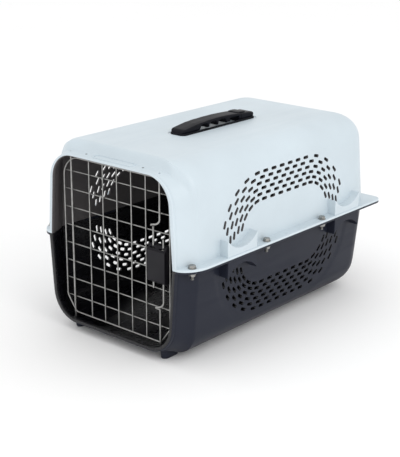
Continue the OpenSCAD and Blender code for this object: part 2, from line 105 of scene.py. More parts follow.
# "sign" is the way a shell reaches from the parting plane, "land" the material slot of its lip,
# and "pocket_x" where its pockets start, inside the wall
UPPER = {
    "h": ROOF_H, "side_r": 45, "rear_r": 36, "draft": math.radians(3),
    "lip_h": 130.3, "lip_t": 3.7, "stepped": True, "sign": 1, "land": 0, "pocket_x": 136.2,
}
# The lower shell's land uses slot 1, its near-black inside copy: painted shade on the lip's front
# face.
LOWER = {
    "h": FLOOR_H, "side_r": 36, "rear_r": 48, "draft": math.radians(4.5),
    "lip_h": 132.4, "lip_t": 5.7, "stepped": False, "sign": -1, "land": 1, "pocket_x": 135.6,
}

# Vent arch: rows of slots round two centres, as heights above the parting plane
VENT_Z = 14.5
VENT_FRONT_Y = -60
VENT_REAR_Y = 54
VENT_R0 = 50.3
VENT_ROW_PITCH = 8.15
VENT_PITCH = 19.8
STRAIGHT_SLOTS = 6
# Each row's first slot on the straight, then its bends as (slots, first angle, angle between them)
ROW_START = [-54.5, -45, -55, -46.5, -58, -50]
FRONT_ROWS = [(4, 14, 18), (5, 5, 17), (5, 12.5, 17), (6, 4.5, 16), (5, 13.5, 15.5), (5, 6, 16)]
REAR_ROWS = [(4, 7.5, 19), (4, 16, 18.5), (5, 7, 18), (5, 15.5, 17), (5, 6.5, 17), (4, 14, 18)]
SLOT_L = 12
SLOT_W = 4.6
# The field around the arch is set back a little; its edge runs outside the last row
FIELD_R = VENT_R0 + (len(ROW_START) - 1) * VENT_ROW_PITCH + 12
FIELD_DEPTH = 0.8
FIELD_EDGE = 5

# Scooped pockets beside the walls
POCKET_YS = [-124, 139.5]
POCKET_HALF_L = 33
POCKET_DIP = 12
POCKET_R = 43
POCKET_OUT = 13
POCKET_EDGE = 0.7
POCKET_STEPS = 24

# Flange bolts, with their washers and nuts
BOLT_POINTS = [(141, -221), (146.4, -62), (146.4, 78)]
REAR_BOLTS = [(-70, REAR_EDGE_Y - 6.1), (70, REAR_EDGE_Y - 6.1)]
BOLT_HOLE_R = 2.75
BOLT_R = 2.5
THREAD_ROOT_R = 2.15
THREAD_PITCH = 0.8
HEAD_H = 3.6
HEAD_ACROSS = 9.2
WASHER_R = 6
WASHER_T = 1
WASHER_EDGE = 0.25

# Marks on the ledge: the rim of the blank label recess, and two dimples
LEDGE_MARK_IN = 13
LABEL_L = 12
LABEL_W = 78
LABEL_R = 5.5
LABEL_RIM_R = 0.9
LABEL_RIM_UP = 0.3
DIMPLE_X = 56

FOOT_X = 88
FOOT_YS = [-210, 168]
FOOT_L = 30
FOOT_W = 12

# Door wires and the two latch rods
FRAME_R = 1.3
FRAME_BEND_R = 30
CUT_BEND_R = 9
CUT_TOP = 18.8
CUT_BOTTOM_X = 18
CUT_BOTTOM_Z = 24.4
UPRIGHTS = 5
CROSSES = 8
DRAWN_THINNER = 0.12
CROSS_OVERHANG = 0.9
JOINT_BEAD_R = 1.35
FRAME_BEAD_R = 1.5
END_BEAD_R = 1.9
HINGE_R = 1.6
HINGE_HOLE_R = 1.68
ROD_X = 88.8
ROD_R = 1.5
ROD_HOLE_R = 1.62
ROD_LOOP_OUT = 6
UPPER_STUB_X = 76.7
LOWER_STUB_X = 95.6
SPRING_R = 2.5
SPRING_WIRE_R = 0.5
SPRING_TURNS = 7

# Handle
SCALLOP_Y = -47
SCALLOP_PITCH = 21.5
SCALLOP_R = 9.3
SCALLOP_H = 7.2
SCALLOPS = 3
SLIT_Y = (13.5, 35.5)
SLIT_H = 5.6
BASE_HOLE_W = 24
BASE_HOLE_IN = 5
BASE_CORNER_R = 8
RECESS_MARGIN = 3
RECESS_CORNER_R = 10
GRIP_END_GAP = 0.3
GRIP_ARCH = 4
GRIP_WAIST = 1.3
TONGUE_L = 12.5
TONGUE_HW = 7.5
TONGUE_T = 2.4
CAP_NOSE_L = 7
FRONT_NOSE_Z = 298.5
REAR_NOSE_Z = 301.5
TAB_L = 16
TAB_HW = 10.5


# ---------------------------------------------------------------- mesh helpers

WELD_DISTANCE = 2e-6
SMOOTH_ANGLE = 35
SHELL_SMOOTH_ANGLE = 32
WIRE_SMOOTH_ANGLE = 60
HANDLE_SMOOTH_ANGLE = 40


def mesh_object(name, verts, faces, indices=None, materials=(), smooth=SMOOTH_ANGLE):
    """A mesh object from points in millimetres. Normals face outwards."""
    mesh = bpy.data.meshes.new(name)
    mesh.from_pydata([tuple(float(c) * MM for c in v) for v in verts], [], [list(f) for f in faces])
    for m in materials:
        mesh.materials.append(m)
    if indices is not None:
        mesh.polygons.foreach_set("material_index", np.array(indices, np.int32))
    bm = bmesh.new()
    bm.from_mesh(mesh)
    bmesh.ops.remove_doubles(bm, verts=bm.verts, dist=WELD_DISTANCE)
    bmesh.ops.recalc_face_normals(bm, faces=bm.faces)
    bm.to_mesh(mesh)
    bm.free()
    obj = bpy.data.objects.new(name, mesh)
    bpy.context.scene.collection.objects.link(obj)
    shade(obj, smooth)
    return obj


def shade(obj, angle):
    """Smooth shading, with edges sharper than the angle left hard."""
    mesh = obj.data
    mesh.polygons.foreach_set("use_smooth", np.ones(len(mesh.polygons), bool))
    mesh.set_sharp_from_angle(angle=math.radians(angle))
    mesh.update()


def apply_modifiers(obj, smooth):
    """Replaces the object's mesh by what its modifiers make of it."""
    graph = bpy.context.evaluated_depsgraph_get()
    mesh = bpy.data.meshes.new_from_object(obj.evaluated_get(graph))
    obj.modifiers.clear()
    obj.data = mesh
    shade(obj, smooth)


def boolean(obj, other, operation):
    modifier = obj.modifiers.new(operation, "BOOLEAN")
    modifier.operation = operation
    modifier.solver = "MANIFOLD"
    modifier.object = other


def bevel(obj, width):
    modifier = obj.modifiers.new("soft_edges", "BEVEL")
    modifier.width = width * MM
    modifier.segments = 3
    modifier.limit_method = "ANGLE"
    modifier.angle_limit = math.radians(30)
    modifier.harden_normals = True


class Build:
    """Collects several closed parts into one mesh, in millimetres."""

    def __init__(self):
        self.verts = []
        self.faces = []
        self.indices = []

    def add(self, verts, faces, index=0):
        n = len(self.verts)
        self.verts.extend(verts)
        self.faces.extend([[i + n for i in f] for f in faces])
        self.indices.extend([index] * len(faces))

    def object(self, name, materials, smooth=SMOOTH_ANGLE):
        return mesh_object(name, self.verts, self.faces, self.indices, materials, smooth)

    def piece(self, node, ending, material, smooth, body, slot):
        """Makes the object that stands for a CAD node, and says what it rides on."""
        obj = self.object(node + ending, (material,), smooth)
        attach(obj, body)
        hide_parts(node)


def loft(rings, closed_ends=True):
    """Quads between rings of the same number of points; the first and last are capped."""
    n = len(rings[0])
    verts = [p for ring in rings for p in ring]
    faces = []
    for k in range(len(rings) - 1):
        for i in range(n):
            j = (i + 1) % n
            faces.append([k * n + i, k * n + j, (k + 1) * n + j, (k + 1) * n + i])
    if closed_ends:
        faces.append(list(range(n))[::-1])
        faces.append([(len(rings) - 1) * n + i for i in range(n)])
    return verts, faces


def closed_loft(rings):
    """Quads between rings whose last repeats the first, so that the body is a frame."""
    n = len(rings[0])
    count = len(rings) - 1
    verts = [p for ring in rings[:-1] for p in ring]
    faces = []
    for k in range(count):
        a, b = k * n, (k + 1) % count * n
        faces += [[a + i, a + (i + 1) % n, b + (i + 1) % n, b + i] for i in range(n)]
    return verts, faces


def lathe(profile, centre, sides=32):
    """A turned part on a vertical axis: profile is a list of (radius, height)."""
    rings = []
    for r, z in profile:
        rings.append([
            (centre[0] + r * math.cos(2 * math.pi * i / sides),
             centre[1] + r * math.sin(2 * math.pi * i / sides),
             centre[2] + z)
            for i in range(sides)
        ])
    return loft(rings)


def arc_points(a, b, c, radius, steps):
    """Points that round the corner at b between a and c."""
    a, b, c = Vector(a), Vector(b), Vector(c)
    u, v = (a - b).normalized(), (c - b).normalized()
    angle = u.angle(v)
    if math.pi - angle < 0.01:
        return [b]
    reach = min(radius / math.tan(angle / 2), (a - b).length * 0.49, (c - b).length * 0.49)
    r = reach * math.tan(angle / 2)
    centre = b + (u + v).normalized() * (r / math.sin(angle / 2))
    start, end = b + u * reach - centre, b + v * reach - centre
    turn = start.angle(end)
    return [
        centre + (start * math.sin(turn * (1 - t)) + end * math.sin(turn * t)) / math.sin(turn)
        for t in [i / steps for i in range(steps + 1)]
    ]


def rounded_loop(corners, steps=8):
    """A closed path through (point, bend radius) corners."""
    points = [p for p, _ in corners]
    out = []
    for i, (p, radius) in enumerate(corners):
        out.extend(arc_points(points[i - 1], p, points[(i + 1) % len(points)], radius, steps))
    return out


def tube(points, radius, sides, closed=False):
    """A round wire along points. Its ends are domed, unless it is closed."""
    points = [Vector(p) for p in points]
    n = len(points)
    ends = [] if closed else [0, n - 1]
    tangents = []
    for i in range(n):
        before = points[i - 1] if closed or i > 0 else points[i]
        after = points[(i + 1) % n] if closed or i < n - 1 else points[i]
        tangents.append((after - before).normalized())
    side = tangents[0].orthogonal().normalized()
    rings = []
    for i, (p, t) in enumerate(zip(points, tangents)):
        side = (side - t * side.dot(t)).normalized()
        up = t.cross(side)

        def ring(centre, r, side=side, up=up):
            return [
                tuple(centre + (side * math.cos(a) + up * math.sin(a)) * r)
                for a in [2 * math.pi * k / sides for k in range(sides)]
            ]

        dome = [ring(p + t * radius * (math.sin(b) - 1) * (1 if i else -1), radius * math.cos(b))
                for b in np.linspace(0, math.radians(85), 5)] if i in ends else []
        if i == 0 and dome:
            rings.extend(dome[::-1])
        elif i == n - 1 and dome:
            rings.extend(dome)
        else:
            rings.append(ring(p, radius))
    if closed:
        verts, faces = loft(rings, closed_ends=False)
        last = (len(rings) - 1) * sides
        offset = closest_turn(rings[-1], rings[0])
        for i in range(sides):
            j = (i + 1) % sides
            faces.append([last + i, last + j, (j + offset) % sides, (i + offset) % sides])
        return verts, faces
    return loft(rings)


def closest_turn(ring, other):
    """How many places the second ring is turned against the first."""
    return min(range(len(ring)), key=lambda k: (Vector(ring[0]) - Vector(other[k])).length)


def smoothstep(t):
    t = np.clip(t, 0, 1)
    return t * t * (3 - 2 * t)


# ---------------------------------------------------------------- materials

def node_tree(name):
    material = bpy.data.materials.new(name)
    material.use_nodes = True
    tree = material.node_tree
    shader = tree.nodes["Principled BSDF"]
    coords = tree.nodes.new("ShaderNodeTexCoord")
    return material, tree, shader, coords


def noise(tree, coords, scale, detail, stretch=(1, 1, 1)):
    mapping = tree.nodes.new("ShaderNodeMapping")
    mapping.inputs["Scale"].default_value = stretch
    tree.links.new(coords.outputs["Object"], mapping.inputs["Vector"])
    texture = tree.nodes.new("ShaderNodeTexNoise")
    texture.inputs["Scale"].default_value = scale
    texture.inputs["Detail"].default_value = detail
    tree.links.new(mapping.outputs["Vector"], texture.inputs["Vector"])
    return texture.outputs["Fac"]


def ramp(tree, value, stops):
    """Maps a value to colours: stops is a list of (place, colour)."""
    node = tree.nodes.new("ShaderNodeValToRGB")
    elements = node.color_ramp.elements
    while len(elements) < len(stops):
        elements.new(0.5)
    for element, (place, colour) in zip(elements, stops):
        element.position = place
        element.color = (*colour, 1)
    tree.links.new(value, node.inputs["Fac"])
    return node.outputs["Color"]


def mixed(tree, amount, a, b):
    """Mixes two colours. Each value is another node's output or a constant."""
    node = tree.nodes.new("ShaderNodeMix")
    node.data_type = "RGBA"
    for socket, value in ((node.inputs[0], amount), (node.inputs[6], a), (node.inputs[7], b)):
        if isinstance(value, bpy.types.NodeSocket):
            tree.links.new(value, socket)
        elif isinstance(value, (int, float)):
            socket.default_value = value
        else:
            socket.default_value = (*value, 1)
    return node.outputs[2]


def grey(value):
    return (value, value, value)


def bumps(tree, shader, layers):
    """Stacks bump layers of (height, strength, distance in millimetres)."""
    normal = None
    for height, strength, distance in layers:
        node = tree.nodes.new("ShaderNodeBump")
        node.inputs["Strength"].default_value = strength
        node.inputs["Distance"].default_value = distance * MM
        tree.links.new(height, node.inputs["Height"])
        if normal is not None:
            tree.links.new(normal, node.inputs["Normal"])
        normal = node.outputs["Normal"]
    tree.links.new(normal, shader.inputs["Normal"])


def moulded_plastic(name, colour, roughness, wear, grain=1.0, specular=0.5):
    """Satin moulded plastic: faint clouding, spark-eroded grain, scuffs, and paler rubbed edges."""
    material, tree, shader, coords = node_tree(name)
    colour = np.array(colour)
    darker, paler = tuple(colour * 0.95), tuple(np.minimum(colour * 1.04, 1))
    speckled, rubbed = tuple(colour * 0.8), tuple(np.minimum(colour * 1.25 + 0.05, 1))
    cloud = noise(tree, coords, scale=9, detail=4)
    speck = noise(tree, coords, scale=420, detail=2)
    scuff = noise(tree, coords, scale=60, detail=6, stretch=(1, 0.12, 1))
    fine = noise(tree, coords, scale=1500, detail=2)
    base = ramp(tree, cloud, [(0.3, darker), (0.7, paler)])
    specks = ramp(tree, speck, [(0.62, grey(0)), (0.78, grey(0.12))])
    base = mixed(tree, specks, base, speckled)
    geometry = tree.nodes.new("ShaderNodeNewGeometry")
    edge = ramp(tree, geometry.outputs["Pointiness"], [(0.52, grey(0)), (0.6, grey(wear))])
    base = mixed(tree, edge, base, rubbed)
    tree.links.new(base, shader.inputs["Base Color"])
    scuffs = ramp(tree, scuff, [(0.45, grey(0)), (0.7, grey(1))])
    rough = mixed(tree, scuffs, grey(roughness), grey(roughness + 0.12))
    tree.links.new(rough, shader.inputs["Roughness"])
    shader.inputs["Specular IOR Level"].default_value = specular
    bumps(tree, shader, [(cloud, 0.15, 1.2), (speck, 0.1 * grain, 0.25), (fine, 0.12 * grain, 0.08)])
    return material


def zinc(name, colour=(0.36, 0.36, 0.35), roughness=0.3):
    """Bright zinc plating: cloudy patches, drawn lines and small pits."""
    material, tree, shader, coords = node_tree(name)
    colour = np.array(colour)
    patches = noise(tree, coords, scale=140, detail=4)
    drawn = noise(tree, coords, scale=700, detail=3, stretch=(1, 1, 0.06))
    dull, bright = tuple(colour * 0.78), tuple(colour * 1.1)
    base = ramp(tree, patches, [(0.3, dull), (0.55, tuple(colour)), (0.75, bright)])
    tree.links.new(base, shader.inputs["Base Color"])
    rough = ramp(tree, patches, [(0.3, grey(roughness + 0.14)), (0.7, grey(roughness))])
    tree.links.new(rough, shader.inputs["Roughness"])
    shader.inputs["Metallic"].default_value = 1
    bumps(tree, shader, [(drawn, 0.2, 0.06), (patches, 0.15, 0.15)])
    return material


def floor_material():
    material, tree, shader, coords = node_tree("studio_floor")
    cloud = noise(tree, coords, scale=1.5, detail=2)
    base = ramp(tree, cloud, [(0.3, grey(0.99)), (0.7, grey(0.999))])
    tree.links.new(base, shader.inputs["Base Color"])
    shader.inputs["Roughness"].default_value = 0.9
    shader.inputs["Specular IOR Level"].default_value = 0.1
    return material


PALE = moulded_plastic("pale_blue_plastic", (0.58, 0.66, 0.71), 0.38, 0.3)
# Painted shade: the same pale plastic made dark grey for the upper shell's inside, its slot walls and
# its dimples.
PALE_PAINTED_SHADE = moulded_plastic("upper_inside_painted_shade", (0.12, 0.113, 0.116), 0.5, 0.0, specular=0.25)
NAVY = moulded_plastic("charcoal_plastic", (0.016, 0.0185, 0.03), 0.4, 0.1, specular=0.17)
# Painted shade: the same charcoal plastic made near black for the lower shell's inside, its slot
# walls and its lip's land.
NAVY_PAINTED_SHADE = moulded_plastic("lower_inside_painted_shade", (0.006, 0.006, 0.008), 0.24, 0.0)
BLACK = moulded_plastic(
    "black_handle_plastic", (0.0045, 0.0045, 0.008), 0.4, 0.1, grain=1.6, specular=0.1
)
LATCH_BLACK = moulded_plastic(
    "black_latch_plastic", (0.009, 0.0085, 0.0115), 0.42, 0.15, grain=1.3, specular=0.13
)
ZINC = zinc("zinc_wire")
STEEL = zinc("plated_fastener", (0.33, 0.325, 0.31), 0.26)


# ---------------------------------------------------------------- the two shells

# Rows of a section: through the flange, up the flank, round the top edge, and to the middle.
# Stations: from the lip to the crease, along the body, and round the rear corner.
FLANGE_ROWS = (0, FLANGE_T - 0.7, FLANGE_T - 0.2, FLANGE_T, FLANGE_T + 0.5)
FLANK_N = 24
ARC_N = 14
TOP_N = 16
WALL_ROW = len(FLANGE_ROWS) - 1
EDGE_ROW = len(FLANGE_ROWS) + FLANK_N + ARC_N
FRONT_N = 18
BODY_N = 96
CORNER_N = 14


def edge_centre(hw, h, r, draft):
    """Distance from the middle to the centre of a drafted wall's rounded top edge."""
    return hw - (h - r + r * math.sin(draft)) * math.tan(draft) - r * math.cos(draft)


def flank(z, hw, h, r, draft):
    """Distance of a drafted wall from the middle at height z, over its rounded top edge."""
    z = np.asarray(z, float)
    straight = hw - z * math.tan(draft)
    arc = edge_centre(hw, h, r, draft) + np.sqrt(np.maximum(0, r * r - np.maximum(0, z - h + r) ** 2))
    return np.where(z <= h - r + r * math.sin(draft), straight, arc)


def half_section(hw, h, r, draft):
    """Rows of (x, z, normal x, normal z, share of the top) from the parting plane to the middle."""
    arc_z = h - r + r * math.sin(draft)
    start = FLANGE_T + FLANGE_FILLET
    rows = [(hw - z * math.tan(draft), z, math.cos(draft), math.sin(draft), 1)
            for z in FLANGE_ROWS]
    for i in range(FLANK_N):
        z = start + (arc_z - start) * i / FLANK_N
        rows.append((hw - z * math.tan(draft), z, math.cos(draft), math.sin(draft), 1))
    c = edge_centre(hw, h, r, draft)
    for i in range(ARC_N + 1):
        a = draft + (math.pi / 2 - draft) * i / ARC_N
        rows.append((c + r * math.cos(a), h - r + r * math.sin(a), math.cos(a), math.sin(a), 1))
    for i in range(1, TOP_N + 1):
        share = 1 - i / TOP_N
        rows.append((c * share, h, 0, 1, share))
    return np.array(rows)


def field_share(y, z):
    """1 inside the set-back field of the vent arch, 0 outside it."""
    along = np.maximum(np.maximum(VENT_FRONT_Y - y, y - VENT_REAR_Y), 0)
    up = np.maximum(z - VENT_Z, 0)
    return 1 - smoothstep((np.hypot(along, up) - FIELD_R) / FIELD_EDGE)


def flange_half_width(y):
    """The flange grows out of the lip and reaches its full width behind it."""
    share = np.clip((y - LIP_Y) / FLANGE_GROWTH_L, 0, 1)
    return LIP_HW + (FLANGE_HW - LIP_HW) * np.sin(math.pi / 2 * share ** 0.6)


def flare_share(depth):
    """How far along the flare a depth behind the lip's edge is: 0 at the land, 1 at the crease."""
    return max(0, (depth - LIP_LAND) / (CREASE_Y - LIP_Y - LIP_LAND))


def flare_ease(depth):
    """The flare's own curve, slightly hollow."""
    share = flare_share(depth)
    return share - FLARE_BULGE * math.sin(math.pi * share) * share


def step_share(x, y, inside):
    """0 on the ledge, 1 on the roof, and between them on the step."""
    back = STEP_CORNER_BACK * smoothstep((x - STEP_CORNER_X) / STEP_CORNER_FADE)
    foot_y = STEP_FOOT_Y + (STEP_INSIDE if inside else 0) + back
    middle = 1 - smoothstep((x - STEP_MID_X) / STEP_MID_FADE)
    return smoothstep((y - foot_y) / (STEP_W + (STEP_MID_W - STEP_W) * middle))


def shell_half(form, inside):
    """Points [station, row] of one side of a shell's surface, x >= 0, with the rear wall's rows."""
    t = WALL if inside else 0
    body = half_section(BODY_HW - t, form["h"] - t, form["side_r"] - t, form["draft"])
    ledge = body
    if form["stepped"]:
        ledge = half_section(BODY_HW - t, LEDGE_H - t, LEDGE_SIDE_R - t, form["draft"])
    lip_in, lip_t = (RIM_W, form["lip_t"]) if inside else (0, 0)
    stations = []

    def place(x, y, z):
        stations.append(np.stack([x, y, z], axis=1))

    # The lip: its edge is rounded, and a fine groove runs behind the land
    edges = [(0, 1.5), (0.45, 0.45), (1.5, 0), (3.6, 0), (4.6, 0.45), (5.8, 0)]
    if inside:
        edges = [(0, -1), (0.3, -0.3), (1, 0), (2, 0), (3, 0), (4, 0)]
    front = [(LIP_Y + d, cut) for d, cut in edges]
    first = front[-1][0]
    front += [(first + (CREASE_Y - first) * (i + 1) / FRONT_N, 0) for i in range(FRONT_N)]
    for y, cut in front:
        lip = half_section(
            LIP_HW - lip_in - cut, form["lip_h"] - lip_t - cut, LIP_R - lip_in - cut, LIP_DRAFT
        )
        eased = flare_ease(y - LIP_Y)
        row = lip + (ledge - lip) * eased
        if form["stepped"]:
            high = lip + (body - lip) * eased
            high[:, 1] = body[:, 1]
            row = row + (high - row) * step_share(high[:, 0], y, inside)[:, None]
        x, z = row[:, 0].copy(), row[:, 1]
        if not inside:
            add_flange(x, np.full_like(x, y))
        place(x, np.full_like(x, y), z)

    # Levels of the body: side, rear and corner radius
    z = body[:, 1]
    side = body[:, 0].copy()
    level_side = flank(z, BODY_HW - t, form["h"] - t, form["side_r"] - t, form["draft"])
    rear = flank(z, REAR_Y - t, form["h"] - t, form["rear_r"] - t, REAR_DRAFT)
    corner = np.maximum(
        REAR_CORNER_MIN_R, REAR_CORNER_R - t - REAR_CORNER_FADE * (BODY_HW - t - level_side)
    )
    if not inside:
        rear[:WALL_ROW] = REAR_EDGE_Y
        corner[:WALL_ROW] = FLANGE_CORNER_R
        rear[2] -= FLANGE_EDGE_CUT
        rear[3] = REAR_Y + FLANGE_FILLET
        corner[3] = REAR_CORNER_R
    for k in range(1, BODY_N + 1):
        y = CREASE_Y + (rear - corner - CREASE_Y) * k / BODY_N
        x = side.copy()
        if not inside:
            add_flange(x, y)
        sunk = FIELD_DEPTH * field_share(y, z)
        sunk[:WALL_ROW] = 0
        place(x - body[:, 2] * sunk, y, z - body[:, 3] * sunk)
    wide = side.copy()
    if not inside:
        add_flange(wide, np.full_like(wide, REAR_Y))
    wide = np.where(body[:, 4] < 1, body[EDGE_ROW, 0], wide)
    for k in range(1, CORNER_N + 1):
        a = math.pi / 2 * k / CORNER_N
        x = (wide - corner + corner * math.cos(a)) * body[:, 4]
        place(x, rear - corner + corner * math.sin(a), z)
    return np.array(stations), (wide - corner, rear, z)


def add_flange(x, y):
    """Moves the lowest rows of an outer section out to the flange, with a fillet at its root."""
    wall = x[WALL_ROW]
    out = np.maximum(flange_half_width(y[:WALL_ROW]) - wall, 0)
    x[0] = wall + out[0]
    x[1] = wall + out[1]
    x[2] = wall + out[2] - min(FLANGE_EDGE_CUT, 0.3 * out[2])
    x[3] = wall + min(FLANGE_FILLET, 0.6 * out[3])


def shell_surface(form, inside):
    """Vertices and quads of a shell's outer or inner surface, and its edge loops."""
    half, (rear_x, rear_y, rear_z) = shell_half(form, inside)
    count = half.shape[0]
    left = half[:, -2::-1, :] * np.array([-1, 1, 1])
    full = np.concatenate([half, left], axis=1)
    width = full.shape[1]
    verts = [tuple(p) for p in full.reshape(-1, 3)]
    faces = [
        (k * width + i, k * width + i + 1, (k + 1) * width + i + 1, (k + 1) * width + i)
        for k in range(count - 1) for i in range(width - 1)
    ]
    shares = [1 - i / TOP_N for i in range(2 * TOP_N + 1)]
    base = len(verts)
    n = len(shares)
    for r in range(EDGE_ROW + 1):
        verts.extend((rear_x[r] * s, rear_y[r], rear_z[r]) for s in shares)
    faces += [
        (base + r * n + i, base + r * n + i + 1, base + (r + 1) * n + i + 1, base + (r + 1) * n + i)
        for r in range(EDGE_ROW) for i in range(n - 1)
    ]
    mouth = list(range(width))
    right = [k * width for k in range(count)]
    left = [k * width + width - 1 for k in range(count)]
    parting = right + [base + i for i in range(1, n - 1)] + left[::-1]
    return verts, faces, mouth, parting


def bridge(a, b):
    """Quads between two rows of vertices."""
    return [(a[i], a[i + 1], b[i + 1], b[i]) for i in range(len(a) - 1)]


def shell_solid(name, form, outer, inner):
    """A closed shell: outer and inner surfaces joined at the mouth and at the parting plane."""
    verts, faces, mouth, parting = shell_surface(form, False)
    count = len(verts)
    indices = [0] * len(faces)
    in_verts, in_faces, in_mouth, in_parting = shell_surface(form, True)
    verts += in_verts
    faces += [tuple(i + count for i in f) for f in in_faces]
    # The inner surface takes slot 1, the darker inside copy of the plastic: painted shade.
    indices += [1] * len(in_faces)
    land = bridge(mouth, [i + count for i in in_mouth])
    edge = bridge(parting, [i + count for i in in_parting])
    faces += land + edge
    # The lip's land takes the slot that form "land" names; slot 1 is the painted-shade inside copy.
    indices += [form["land"]] * len(land) + [0] * len(edge)
    verts = [(x, y, PARTING_Z + form["sign"] * z) for x, y, z in verts]
    return mesh_object(name, verts, faces, indices, (outer, inner), SHELL_SMOOTH_ANGLE)


def slots():
    """Places of every vent slot: along the body, above the parting plane, and its turn."""
    for row in range(len(ROW_START)):
        r = VENT_R0 + VENT_ROW_PITCH * row
        for i in range(STRAIGHT_SLOTS):
            yield ROW_START[row] + VENT_PITCH * i, VENT_Z + r, 0
        for (n, first, step), centre, way in (
            (FRONT_ROWS[row], VENT_FRONT_Y, -1), (REAR_ROWS[row], VENT_REAR_Y, 1)
        ):
            for i in range(n):
                a = math.radians(first + step * i)
                yield centre + way * r * math.sin(a), VENT_Z + r * math.cos(a), -way * a


def slot_outline(length, width, grow, points=20):
    """A slot with round ends, as (along, across)."""
    r = width / 2 + grow
    straight = (length - width) / 2
    out = []
    for i in range(points):
        a = 2 * math.pi * (i + 0.5) / points
        out.append((math.copysign(straight, math.cos(a)) + r * math.cos(a), r * math.sin(a)))
    return out


def cut_slots(build, form):
    """Slot cutters for both side walls, flared a little at the outer face."""
    for y, z, turn in slots():
        x = float(flank(z, BODY_HW, form["h"], form["side_r"], form["draft"])) - FIELD_DEPTH
        for side in (-1, 1):
            rings = []
            for depth, grow in ((-WALL - 3, 0), (-0.3, 0), (0.9, 0.9)):
                rings.append([
                    (side * (x + depth),
                     y + u * math.cos(turn) - v * math.sin(turn),
                     PARTING_Z + form["sign"] * (z + u * math.sin(turn) + v * math.cos(turn)))
                    for u, v in slot_outline(SLOT_L, SLOT_W, grow)
                ])
            # The slot walls take slot 1, the darker inside copy of the shell plastic: painted shade
            # in the slots.
            build.add(*loft(rings), index=1)


def plan_outline(length, width, radius, steps=8):
    """A rounded rectangle in plan, centred on 0."""
    out = []
    for cx, cy, start in ((1, 1, 0), (-1, 1, 90), (-1, -1, 180), (1, -1, 270)):
        for i in range(steps + 1):
            a = math.radians(start + 90 * i / steps)
            out.append((cx * (width / 2 - radius) + radius * math.cos(a),
                        cy * (length / 2 - radius) + radius * math.sin(a)))
    return out


def pocket(build, form, y):
    """One scooped pocket beside the wall, above or under the flange, on both sides."""
    line = [(-POCKET_HALF_L, 0.5), (POCKET_HALF_L, 0.5)]
    for i in range(POCKET_STEPS + 1):
        along = POCKET_HALF_L * (1 - 2 * i / POCKET_STEPS)
        line.append((along, POCKET_DIP + POCKET_R - math.sqrt(POCKET_R ** 2 - along ** 2)))
    edge_x = BODY_HW + POCKET_OUT
    for side in (-1, 1):
        rings = []
        for out, shrink in ((form["pocket_x"], 0), (edge_x - POCKET_EDGE, 0), (edge_x, POCKET_EDGE)):
            rings.append([
                (side * out,
                 y + along - math.copysign(shrink, along),
                 PARTING_Z + form["sign"] * (up - (shrink if up > 1 else 0)))
                for along, up in line
            ])
        build.add(*loft(rings))


def bolt_places():
    for x, y in BOLT_POINTS:
        yield x, y
        yield -x, y
    yield from REAR_BOLTS


def finish_shell(shell, added, cut, materials, node):
    """Adds and cuts what has been collected, and lets the shell stand for its CAD node."""
    additions = added.object("add", materials)
    cutters = cut.object("cut", materials)
    boolean(shell, additions, "UNION")
    boolean(shell, cutters, "DIFFERENCE")
    apply_modifiers(shell, SHELL_SMOOTH_ANGLE)
    for used in (cutters, additions):
        bpy.data.objects.remove(used)
    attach(shell, "shells")
    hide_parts(node)


def drill(cut, centre, radius, low, high):
    """A straight round hole from low to high, measured from its centre."""
    cut.add(*lathe([(radius, low), (radius, high)], centre, sides=20))


def drill_bolt_holes(cut, form):
    z = PARTING_Z + form["sign"] * FLANGE_T / 2
    for x, y in bolt_places():
        drill(cut, (x, y, z), BOLT_HOLE_R, -4, 4)


def wire_line(node):
    """Where a door wire's axis lies along the body, from its lowest and highest corners."""
    low, high = node_box(node)
    return (low.y + high.y) / 2


def rod_line(node):
    """The same for a latch rod, whose finger loop stands in front of its axis."""
    return node_box(node)[1].y - ROD_R


def ledge_height(depth):
    """Height of the ledge over the parting plane, depth behind the lip's edge."""
    return UPPER["lip_h"] + (LEDGE_H - UPPER["lip_h"]) * flare_ease(depth)


def handle_recess(cut):
    """The shallow recess in the roof that the handle base lies in, with flared sides."""
    low, high = node_box("handle_base")
    centre_y = (low.y + high.y) / 2
    outline = plan_outline(
        high.y - low.y + 2 * RECESS_MARGIN, high.x - low.x + 2 * RECESS_MARGIN, RECESS_CORNER_R
    )
    rings = []
    for up, grow in ((0, 0), (0.5, 0.15), (3, 2.6)):
        rings.append([
            (x + math.copysign(grow, x), centre_y + y + math.copysign(grow, y), low.z + up)
            for x, y in outline
        ])
    cut.add(*loft(rings))


def make_upper_shell():
    shell = shell_solid("upper_shell_body", UPPER, PALE, PALE_PAINTED_SHADE)
    added = Build()
    for y in POCKET_YS:
        pocket(added, UPPER, y)
    rim = [
        (x, LIP_Y + LEDGE_MARK_IN + y, PARTING_Z + ledge_height(LEDGE_MARK_IN + y) + LABEL_RIM_UP)
        for x, y in plan_outline(LABEL_L, LABEL_W, LABEL_R)
    ]
    added.add(*tube(rim, LABEL_RIM_R, sides=10, closed=True))
    cut = Build()
    cut_slots(cut, UPPER)
    drill_bolt_holes(cut, UPPER)
    top = PARTING_Z + LEDGE_H
    drill(cut, (-ROD_X, wire_line("door_hinge_rod"), top), HINGE_HOLE_R, -20, 12)
    drill(cut, (ROD_X, rod_line("upper_bolt_rod"), top), ROD_HOLE_R, -20, 12)
    # The dimples take slot 1, the dark grey inside copy of the pale plastic: painted shade in them.
    dimple = [(1.6, -2.6), (1.8, -2), (2.1, 3)]
    for x in (-DIMPLE_X, DIMPLE_X):
        cut.add(*lathe(dimple, (x, LIP_Y + LEDGE_MARK_IN, top), 20), index=1)
    handle_recess(cut)
    finish_shell(shell, added, cut, (PALE, PALE_PAINTED_SHADE), "upper_shell")


